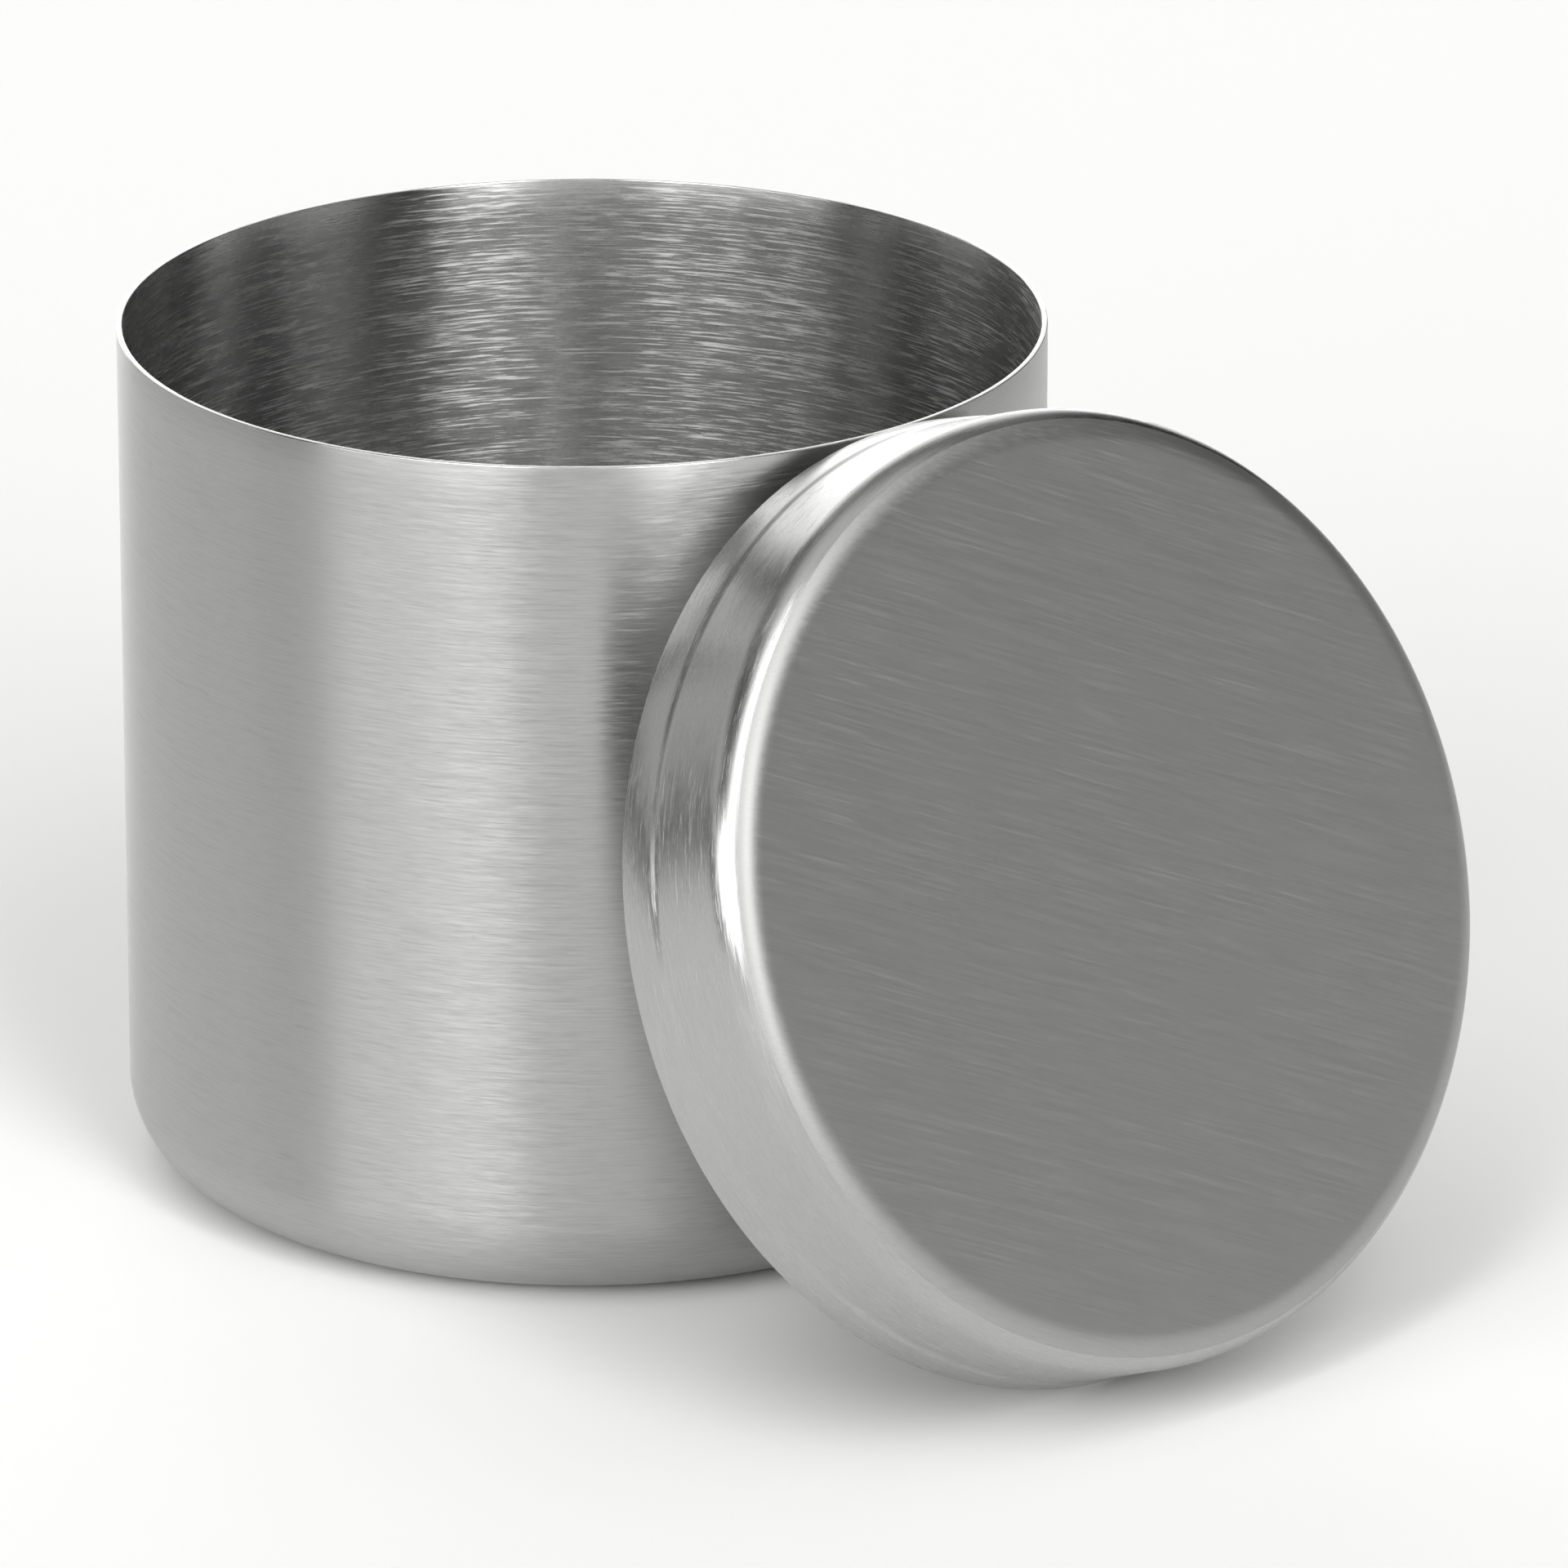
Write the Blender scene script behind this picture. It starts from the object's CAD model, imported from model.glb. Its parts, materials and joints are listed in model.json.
"""Looks of the candle tin: a deep-drawn stainless steel tin with its slip lid leaning against the rim.

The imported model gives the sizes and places. Each CAD piece is replaced by a finely turned shell of the
same sheet, with the hairline and satin finishes that such a tin has. Blender units are metres.
"""

import json
import math

import bmesh
import bpy
from mathutils import Matrix, Vector


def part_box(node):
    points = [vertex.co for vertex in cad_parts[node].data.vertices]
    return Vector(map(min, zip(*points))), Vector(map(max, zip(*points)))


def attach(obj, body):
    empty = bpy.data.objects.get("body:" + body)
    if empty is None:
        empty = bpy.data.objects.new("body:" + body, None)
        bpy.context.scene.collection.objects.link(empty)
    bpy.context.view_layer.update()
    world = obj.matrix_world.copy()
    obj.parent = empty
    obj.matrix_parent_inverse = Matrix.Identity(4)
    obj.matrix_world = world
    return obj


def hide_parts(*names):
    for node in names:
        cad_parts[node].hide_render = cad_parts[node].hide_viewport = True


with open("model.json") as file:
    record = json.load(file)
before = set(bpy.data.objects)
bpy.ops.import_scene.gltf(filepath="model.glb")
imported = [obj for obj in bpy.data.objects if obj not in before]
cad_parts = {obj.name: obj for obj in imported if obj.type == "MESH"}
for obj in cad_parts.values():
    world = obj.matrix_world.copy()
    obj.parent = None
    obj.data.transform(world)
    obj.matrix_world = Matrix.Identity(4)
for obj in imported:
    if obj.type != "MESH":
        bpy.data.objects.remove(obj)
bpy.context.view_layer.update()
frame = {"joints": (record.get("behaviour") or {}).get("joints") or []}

MM = 0.001

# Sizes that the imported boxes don't give, the same as the CAD model's
SHEET = 0.5 * MM
TIN_CORNER = 8 * MM          # between the wall and the base
LID_RADIUS = 40.3 * MM       # above the band
LID_HEIGHT = 14 * MM
LID_SHOULDER = 3.2 * MM      # between the skirt and the top
BAND_HEIGHT = 3.3 * MM       # up to the step
STEP_HEIGHT = 0.8 * MM

# Softer shapes, left by the press and by finishing, that the CAD model leaves out
LID_CROWN = 0.25 * MM        # how far the middle of the lid's top swells
STEP_TAPER = 0.25 * MM       # how far the band closes in, and the skirt flares, on the way to the step
STEP_FLANK = 0.6 * MM        # height of the step's slope, between the two
STEP_ROUND = 0.2 * MM        # how far each corner of the step is softened
TRIM_ROUND = 0.09 * MM       # the deburred corners of the cut edge

FACE_STARTS = math.radians(51)       # how far round the shoulder the top's own finish begins
FACE_BRUSHING = math.radians(64)     # the direction of the straight brushing on the top

# How finely the shells are turned
TURN_STEPS = 256             # flats round each shell
CORNER_STEPS = 24            # flats along a drawn corner
STEP_STEPS = 3               # flats along each corner of the step
TRIM_STEPS = 3               # flats along each deburred corner
FLANK_RINGS = 20             # rings that keep the shading of a long flank true
LONG_FLANK = 5 * MM          # a flank longer than this gets them
NEAR = 0.01 * MM             # closer than this counts as the same place
WELD = 0.001 * MM            # points closer than this become one
UPWARD = 0.01                # a face whose normal rises more than this faces up

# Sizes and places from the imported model
TIN_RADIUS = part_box("tin_body")[1].x
TIN_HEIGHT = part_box("tin_body")[1].z
BAND_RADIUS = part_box("lid")[1].y
LID_TILT = math.radians(frame["joints"][0]["range_deg"][1])     # from level, as it leans
LID_CENTRE = Vector((
    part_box("lid")[0].x + BAND_RADIUS * math.cos(LID_TILT),
    0,
    BAND_RADIUS * math.sin(LID_TILT),
))

# Camera
AIM = Vector((0.0236, 0.0024, 0.0393))
CAMERA_AZIMUTH = -41.14      # degrees from +X, anticlockwise from above
CAMERA_PITCH = 20.18
CAMERA_DISTANCE = 1.12
CAMERA_LENS = 300            # in millimetres, as the sensor is
CAMERA_SENSOR = 36

# Room
BACKDROP = "#f6f6f5"         # what shows behind the floor
ROOM_GLOW = 0.02             # the light from everywhere that no patch covers
FLOOR_REACH = 4.0            # from the middle of the floor to each of its sides

# Grain of brushed steel
GRAIN_LOW = 0.30             # nearly all of the noise lies between these two
GRAIN_HIGH = 0.70
GRAIN_FINENESS = 0.6         # how much of the noise is in its finer octaves
DEEP_ARE_FEW = 4.0           # the higher this is, the fewer scratches count as deep
DEEP_IS_ROUGH = 3.0          # a deep scratch roughens this many times as much as a light one smooths
FINE_SHORTER = 3             # the finer of two layers of scratches has them this many times shorter
FINE_NARROWER = 0.7          # and this much of the width


def make_camera():
    data = bpy.data.cameras.new("camera")
    data.lens = CAMERA_LENS
    data.sensor_width = CAMERA_SENSOR
    data.clip_start = 0.01
    data.clip_end = 20
    bearing = math.radians(CAMERA_AZIMUTH)
    pitch = math.radians(CAMERA_PITCH)
    back = CAMERA_DISTANCE * Vector((
        math.cos(pitch) * math.cos(bearing),
        math.cos(pitch) * math.sin(bearing),
        math.sin(pitch),
    ))
    camera = bpy.data.objects.new("camera", data)
    camera.location = AIM + back
    camera.rotation_euler = (-back).to_track_quat("-Z", "Y").to_euler()
    bpy.context.scene.collection.objects.link(camera)
    bpy.context.scene.camera = camera


def linear(code):
    """An sRGB hex value as a linear colour."""
    channels = [int(code[i:i + 2], 16) / 255 for i in (1, 3, 5)]
    return [c / 12.92 if c <= 0.04045 else ((c + 0.055) / 1.055) ** 2.4 for c in channels] + [1]


def add(tree, kind, inputs=None, **settings):
    """Adds a node with its settings. An input is a value, or a socket to link."""
    node = tree.nodes.new(kind)
    for key, value in settings.items():
        setattr(node, key, value)
    for key, value in (inputs or {}).items():
        if isinstance(value, bpy.types.NodeSocket):
            tree.links.new(value, node.inputs[key])
        else:
            node.inputs[key].default_value = value
    return node


# The room: soft-edged patches of light on a dark surround, which only the steel and the floor see

def make_room():
    world = bpy.data.worlds.new("room")
    bpy.context.scene.world = world
    world.use_nodes = True
    tree = world.node_tree
    tree.nodes.clear()
    direction = add(tree, "ShaderNodeTexCoord").outputs["Generated"]
    split = add(tree, "ShaderNodeSeparateXYZ", {0: direction})
    bearing = add(tree, "ShaderNodeMath", {
        0: split.outputs["Y"], 1: split.outputs["X"],
    }, operation="ARCTAN2")
    height = add(tree, "ShaderNodeMath", {0: split.outputs["Z"]}, operation="ARCSINE")

    def panel(turn, half_width, low, high, soft, radiance):
        """A patch that is turned from the camera's bearing, positive to its right, and lies between two
        heights above level. soft is how far its edges fade each way. All but radiance are in degrees.
        """
        away = add(tree, "ShaderNodeMath", {
            0: bearing.outputs[0], 1: math.radians(CAMERA_AZIMUTH + turn),
        }, operation="SUBTRACT")
        wrapped = add(tree, "ShaderNodeMath", {
            0: away.outputs[0], 1: math.pi, 2: -math.pi,
        }, operation="WRAP")
        aside = add(tree, "ShaderNodeMath", {0: wrapped.outputs[0]}, operation="ABSOLUTE")
        light = radiance
        for place, dark, bright in (
            (aside, half_width + soft, half_width - soft),
            (height, low - soft, low + soft),
            (height, high + soft, high - soft),
        ):
            edge = add(tree, "ShaderNodeMapRange", {
                "Value": place.outputs[0],
                "From Min": math.radians(dark),
                "From Max": math.radians(bright),
            }, interpolation_type="SMOOTHSTEP")
            light = add(tree, "ShaderNodeMath", {
                0: edge.outputs["Result"], 1: light,
            }, operation="MULTIPLY").outputs[0]
        return light

    patches = [
        panel(-170, 21, -30, 32, 6, 1.7),      # the lit sweep behind
        panel(-168, 26, -30, 6, 4, 3.4),       # the brighter foot of the sweep
        panel(-41, 25, 14, 28, 5, 5.6),        # the large softbox at the front left
        panel(-36, 24, -30, 12, 6, 0.9),       # its glow on the wall below
        panel(-31, 11, 28, 80, 6, 4.6),        # a narrow softbox above it
        panel(27, 11, 14, 64, 6, 6.4),         # the narrow softbox at the front right
        panel(0, 45, 36, 76, 10, 0.5),         # the softbox above the camera
        panel(6, 20, -30, 22, 10, 1.2),        # the room in front
        panel(80, 26, -30, 14, 9, 0.45),       # a low grey wall on the right
        panel(-112, 26, 9, 30, 4, 0.7),        # the wall on the left
        panel(0, 180, 62, 95, 12, 0.9),        # the ceiling
        panel(150, 110, 34, 62, 10, 0.2),      # the upper walls
    ]
    glow = ROOM_GLOW
    for patch in patches:
        glow = add(tree, "ShaderNodeMath", {0: patch, 1: glow}, operation="ADD").outputs[0]
    seen = add(tree, "ShaderNodeBackground", {"Color": linear(BACKDROP), "Strength": 1.0})
    lit = add(tree, "ShaderNodeBackground", {"Color": linear("#ffffff"), "Strength": glow})
    camera_ray = add(tree, "ShaderNodeLightPath").outputs["Is Camera Ray"]
    mixed = add(tree, "ShaderNodeMixShader", {0: camera_ray, 1: lit.outputs[0], 2: seen.outputs[0]})
    add(tree, "ShaderNodeOutputWorld", {"Surface": mixed.outputs[0]})


# Materials

def new_material(name):
    material = bpy.data.materials.new(name)
    material.use_nodes = True
    material.node_tree.nodes.clear()
    return material, material.node_tree


def axis_place(tree, axis):
    """A point's place about a piece's own axis, from where the axis stands and how it is turned."""
    point = add(tree, "ShaderNodeTexCoord").outputs["Object"]
    return add(tree, "ShaderNodeMapping", {
        "Vector": point, "Location": axis[0], "Rotation": axis[1],
    }, vector_type="TEXTURE").outputs[0]


def streaks(tree, where, seed, detail):
    """Fine noise at a point that is already squeezed across the brushing and drawn out along it."""
    shifted = add(tree, "ShaderNodeVectorMath", {0: where, 1: (seed, seed, seed)}, operation="ADD")
    return add(tree, "ShaderNodeTexNoise", {
        "Vector": shifted.outputs[0], "Scale": 1.0, "Detail": detail, "Roughness": GRAIN_FINENESS,
    }).outputs["Fac"]


def steel(tree, grain, colour, contrast, roughness, swing, anisotropy, tilt):
    """Brushed stainless steel whose scratches follow the grain, with the highlight spread across them.

    A deeper scratch throws light further, so the roughness rises most in the few strongest ones. Each
    scratch also tips the surface a little along its own length. contrast, swing and tilt say how far the
    colour, the roughness and the surface's direction go each way.
    """
    level = add(tree, "ShaderNodeMapRange", {
        "Value": grain, "From Min": GRAIN_LOW, "From Max": GRAIN_HIGH,
    }).outputs["Result"]

    def by_grain(low, high, bite=1.0):
        bitten = add(tree, "ShaderNodeMath", {0: level, 1: bite}, operation="POWER").outputs[0]
        return add(tree, "ShaderNodeMapRange", {
            "Value": bitten, "To Min": low, "To Max": high,
        }).outputs["Result"]

    shade = add(tree, "ShaderNodeVectorMath", {
        0: linear(colour)[:3], "Scale": by_grain(1 - contrast, 1 + contrast),
    }, operation="SCALE")
    tangent = add(tree, "ShaderNodeTangent", direction_type="UV_MAP", uv_map="brushing")
    facing = add(tree, "ShaderNodeNewGeometry").outputs["Normal"]
    along = add(tree, "ShaderNodeVectorMath", {
        0: facing, 1: tangent.outputs[0],
    }, operation="CROSS_PRODUCT")
    lean = add(tree, "ShaderNodeVectorMath", {
        0: along.outputs[0], "Scale": by_grain(-tilt, tilt),
    }, operation="SCALE")
    tipped = add(tree, "ShaderNodeVectorMath", {0: facing, 1: lean.outputs[0]}, operation="ADD")
    stroke = add(tree, "ShaderNodeVectorMath", {0: tipped.outputs[0]}, operation="NORMALIZE")
    lightest = roughness * (1 - swing)
    deepest = roughness * (1 + DEEP_IS_ROUGH * swing)
    shader = add(tree, "ShaderNodeBsdfPrincipled", {
        "Base Color": shade.outputs[0],
        "Metallic": 1.0,
        "Roughness": by_grain(lightest, deepest, DEEP_ARE_FEW),
        "Anisotropic": anisotropy,
        "Normal": stroke.outputs[0],
        "Tangent": tangent.outputs[0],
    })
    add(tree, "ShaderNodeOutputMaterial", {"Surface": shader.outputs[0]})


def hairline(name, axis, rise, length, width, **finish):
    """Stainless steel brushed round its axis: fine scratches that run round the piece.

    They make highlights reach along the axis and break up into short bright and dark dashes. length and
    width are a scratch's. rise is +1 where the sheet's height grows outwards, and -1 where it falls.
    """
    material, tree = new_material(name)
    local = axis_place(tree, axis)
    height = add(tree, "ShaderNodeSeparateXYZ", {0: local}).outputs["Z"]
    flat = add(tree, "ShaderNodeVectorMath", {0: local, 1: (1, 1, 0)}, operation="MULTIPLY").outputs[0]
    radius = add(tree, "ShaderNodeVectorMath", {0: flat}, operation="LENGTH").outputs["Value"]
    profile = add(tree, "ShaderNodeMath", {0: radius, 1: rise, 2: height}, operation="MULTIPLY_ADD")

    def layer(stretch, squeeze, seed):
        around = add(tree, "ShaderNodeVectorMath", {0: flat, "Scale": 1 / stretch}, operation="SCALE")
        across = add(tree, "ShaderNodeMath", {
            0: profile.outputs[0], 1: 1 / squeeze,
        }, operation="MULTIPLY")
        lift = add(tree, "ShaderNodeCombineXYZ", {"Z": across.outputs[0]}).outputs[0]
        where = add(tree, "ShaderNodeVectorMath", {0: around.outputs[0], 1: lift}, operation="ADD")
        return streaks(tree, where.outputs[0], seed, detail=2.0)

    grain = add(tree, "ShaderNodeMix", {
        "Factor": 0.5,
        "A": layer(length, width, seed=0.0),
        "B": layer(length / FINE_SHORTER, width * FINE_NARROWER, seed=17.0),
    }, data_type="FLOAT").outputs["Result"]
    steel(tree, grain, **finish)
    return material


def satin(name, axis, turn, length, width, **finish):
    """Stainless steel rubbed in straight lines with a fine abrasive: a broad, even, greyish sheen."""
    material, tree = new_material(name)
    local = axis_place(tree, axis)
    where = add(tree, "ShaderNodeMapping", {
        "Vector": local, "Rotation": (0, 0, turn), "Scale": (length, width, width),
    }, vector_type="TEXTURE").outputs[0]
    grain = streaks(tree, where, seed=5.0, detail=3.0)
    steel(tree, grain, **finish)
    return material


# Meshes

def drawn_shell(outline, rounds, crown=0.0):
    """A shell of sheet turned about Z, from an outline of its outside that starts on the axis.

    outline is a list of (radius, height). rounds gives a corner's distance of rounding and its steps.
    crown is how far the middle swells over the flat that the outline starts with.
    """
    shell = bmesh.new()
    points = [shell.verts.new((r, 0, z)) for r, z in outline]
    for here, there in zip(points, points[1:]):
        shell.edges.new((here, there))
    for index, (reach, steps) in rounds.items():
        bmesh.ops.bevel(
            shell, geom=[points[index]], offset=reach, offset_type="OFFSET", segments=steps,
            profile=0.5, affect="VERTICES", material=-1,
        )
    flanks = [e for e in shell.edges if e.calc_length() > LONG_FLANK]
    bmesh.ops.subdivide_edges(shell, edges=flanks, cuts=FLANK_RINGS)
    flat_radius = outline[1][0] - rounds[1][0]
    for point in shell.verts:
        if abs(point.co.z - outline[0][1]) < NEAR:
            point.co.z += crown * (1 - (point.co.x / flat_radius) ** 2)
    bmesh.ops.spin(
        shell, geom=shell.verts[:] + shell.edges[:], cent=(0, 0, 0), axis=(0, 0, 1), dvec=(0, 0, 0),
        angle=2 * math.pi, steps=TURN_STEPS, use_merge=True, use_duplicate=False,
    )
    bmesh.ops.remove_doubles(shell, verts=shell.verts[:], dist=WELD)
    bmesh.ops.recalc_face_normals(shell, faces=shell.faces[:])
    bmesh.ops.solidify(shell, geom=shell.faces[:], thickness=SHEET)
    return shell


def trim_edge(shell, height):
    """Softens the two corners of the cut edge."""
    corners = [
        e for e in shell.edges
        if all(abs(v.co.z - height) < NEAR for v in e.verts)
        and abs(e.verts[0].co.xy.length - e.verts[1].co.xy.length) < NEAR
    ]
    bmesh.ops.bevel(
        shell, geom=corners, offset=TRIM_ROUND, offset_type="OFFSET", segments=TRIM_STEPS,
        profile=0.5, affect="EDGES", material=-1,
    )


def lay_brushing(shell, straight, turn):
    """Maps every face with the brushing along V, so that a highlight spreads along U, across the scratches.

    V runs round the axis, except on faces of the finish numbered straight, where it runs straight across.
    """
    brushing = shell.loops.layers.uv.new("brushing")
    for face in shell.faces:
        middle = face.calc_center_median()
        bearing = math.atan2(middle.y, middle.x)
        for loop in face.loops:
            spot = loop.vert.co
            if face.material_index == straight:
                across = spot.y * math.cos(turn) - spot.x * math.sin(turn)
                along = spot.x * math.cos(turn) + spot.y * math.sin(turn)
                loop[brushing].uv = (across / TIN_RADIUS, along / TIN_RADIUS)
                continue
            beyond = math.atan2(spot.y, spot.x) - bearing if spot.xy.length > NEAR else 0
            beyond = (beyond + math.pi) % (2 * math.pi) - math.pi
            loop[brushing].uv = ((spot.z + spot.xy.length) / TIN_RADIUS, bearing + beyond)


def finish_piece(name, shell, materials, move, body, node):
    """Makes the shell an object: smooth shading, place in its mesh, finishes, and its ties to the frame."""
    for face in shell.faces:
        face.smooth = True
    bmesh.ops.transform(shell, matrix=move, verts=shell.verts[:])
    mesh = bpy.data.meshes.new(name)
    shell.to_mesh(mesh)
    shell.free()
    for material in materials:
        mesh.materials.append(material)
    piece = bpy.data.objects.new(name, mesh)
    bpy.context.scene.collection.objects.link(piece)
    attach(piece, body)
    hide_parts(node)


def make_tin():
    shell = drawn_shell(
        [(0, 0), (TIN_RADIUS, 0), (TIN_RADIUS, TIN_HEIGHT)],
        {1: (TIN_CORNER, CORNER_STEPS)},
    )
    trim_edge(shell, TIN_HEIGHT)
    # The wall's inner side, the floor and the cut edge have the inside's finish
    for face in shell.faces:
        middle = face.calc_center_median()
        inward = middle.z > TIN_CORNER and face.normal.dot(Vector((middle.x, middle.y, 0))) < 0
        upward = face.normal.z > UPWARD
        face.material_index = 1 if inward or upward else 0
    lay_brushing(shell, None, 0)
    upright = ((0, 0, 0), (0, 0, 0))

    # Brushed with a fine belt: an even grey with broad, soft bands of light up the wall. The real
    # scratches are a few hundredths of a millimetre wide, so these are drawn coarser, to show.
    outside = hairline(
        "brushed stainless steel, outside of the tin", upright, 1, length=6 * MM, width=0.16 * MM,
        colour="#afafae", contrast=0.16, roughness=0.35, swing=0.15, anisotropy=0.95, tilt=0.02,
    )
    # Brushed with a coarser pad: brighter metal with streaks that glint in the bands of light. These
    # scratches too are drawn coarser than real ones.
    inside = hairline(
        "brushed stainless steel, inside of the tin", upright, 1, length=8 * MM, width=0.18 * MM,
        colour="#cbcbca", contrast=0.26, roughness=0.32, swing=0.34, anisotropy=0.96, tilt=0.035,
    )
    finish_piece(
        "drawn_tin", shell, [outside, inside], Matrix.Identity(4),
        body="tin", node="tin_body",
    )


def make_lid():
    step = BAND_HEIGHT + STEP_HEIGHT / 2
    shell = drawn_shell(
        [
            (0, LID_HEIGHT),
            (LID_RADIUS, LID_HEIGHT),
            (LID_RADIUS + STEP_TAPER, step + STEP_FLANK / 2),
            (BAND_RADIUS - STEP_TAPER, step - STEP_FLANK / 2),
            (BAND_RADIUS, 0),
        ],
        {
            1: (LID_SHOULDER, CORNER_STEPS),
            2: (STEP_ROUND, STEP_STEPS),
            3: (STEP_ROUND, STEP_STEPS),
        },
        LID_CROWN,
    )
    trim_edge(shell, 0)
    for face in shell.faces:
        face.material_index = 1 if face.normal.z > math.sin(FACE_STARTS) else 0
    lay_brushing(shell, 1, FACE_BRUSHING)
    lean = Matrix.Translation(LID_CENTRE) @ Matrix.Rotation(LID_TILT, 4, "Y")
    leaning = (LID_CENTRE, (0, LID_TILT, 0))

    # Brushed round the lid with a worn belt: shinier than the tin, with a crisp white highlight on the
    # shoulder. The scratches are drawn coarser than real ones.
    skirt = hairline(
        "brushed stainless steel, skirt of the lid", leaning, -1, length=5 * MM, width=0.17 * MM,
        colour="#b5b5b4", contrast=0.09, roughness=0.29, swing=0.28, anisotropy=0.90, tilt=0.05,
    )
    # Rubbed straight across with a fine pad: a flat, dull grey with only a trace of grain, which is
    # drawn coarser than the real one.
    top = satin(
        "satin stainless steel, top of the lid", leaning, FACE_BRUSHING, length=8 * MM, width=0.2 * MM,
        colour="#adadab", contrast=0.06, roughness=0.52, swing=0.05, anisotropy=0.4, tilt=0.01,
    )
    finish_piece(
        "drawn_lid", shell, [skirt, top], lean,
        body="lid", node="lid",
    )


def make_floor():
    shape = bmesh.new()
    bmesh.ops.create_grid(shape, x_segments=1, y_segments=1, size=FLOOR_REACH)
    mesh = bpy.data.meshes.new("floor")
    shape.to_mesh(mesh)
    shape.free()
    # Matt laminate: pale and even, with soft shadows and hardly a reflection
    material, tree = new_material("matt white laminate, the floor")
    shader = add(tree, "ShaderNodeBsdfPrincipled", {"Base Color": linear("#f3f3f2"), "Roughness": 0.7})
    add(tree, "ShaderNodeOutputMaterial", {"Surface": shader.outputs[0]})
    mesh.materials.append(material)
    floor = bpy.data.objects.new("floor", mesh)
    bpy.context.scene.collection.objects.link(floor)


make_camera()
bpy.context.scene.view_settings.view_transform = "Standard"
make_room()
make_floor()
make_tin()
make_lid()
